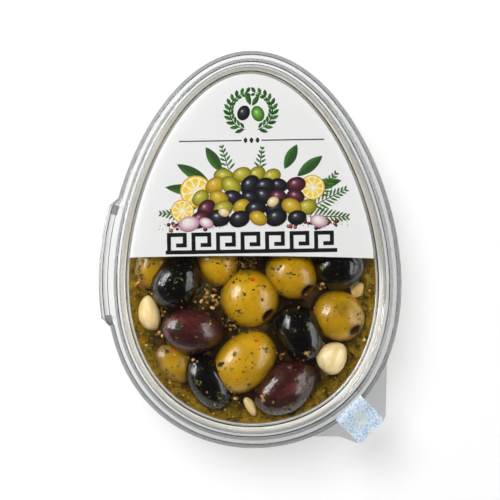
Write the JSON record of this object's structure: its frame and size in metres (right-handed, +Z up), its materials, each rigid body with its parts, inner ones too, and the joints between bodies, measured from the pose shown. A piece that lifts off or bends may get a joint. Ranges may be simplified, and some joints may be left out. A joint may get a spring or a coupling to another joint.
{
  "type": "egg-shaped clear pack of mixed olives",
  "caption": "Clear egg-shaped deli tub with a hinged lid, a printed label and a foil seal, filled with mixed olives and garlic in oil",
  "frame": {"origin": "middle of the base's flat underside, where the pack stands", "axes": "+Z up, +Y to the narrow end of the egg, the hinge on the -X side"},
  "size_m": [0.1214, 0.1592, 0.045],
  "materials": {
    "clear_tub": "clear thermoformed plastic",
    "clear_lid": "clear thermoformed plastic",
    "label": "white film label, semi-gloss",
    "seal_foil": "glittering silver-blue foil",
    "olives": "wet with oil"
  },
  "bodies": {
    "tub": {"tub": "clear_tub", "olives": "olives"},
    "lid": {"lid": "clear_lid", "label": "label", "seal": "seal_foil"}
  },
  "joints": [
    {"name": "lid_hinge", "type": "hinge", "parent": "tub", "child": "lid", "pos_m": [-0.0624, -0.0045, 0.04015], "axis": [0, -1, 0], "range_deg": [0, 180]}
  ]
}
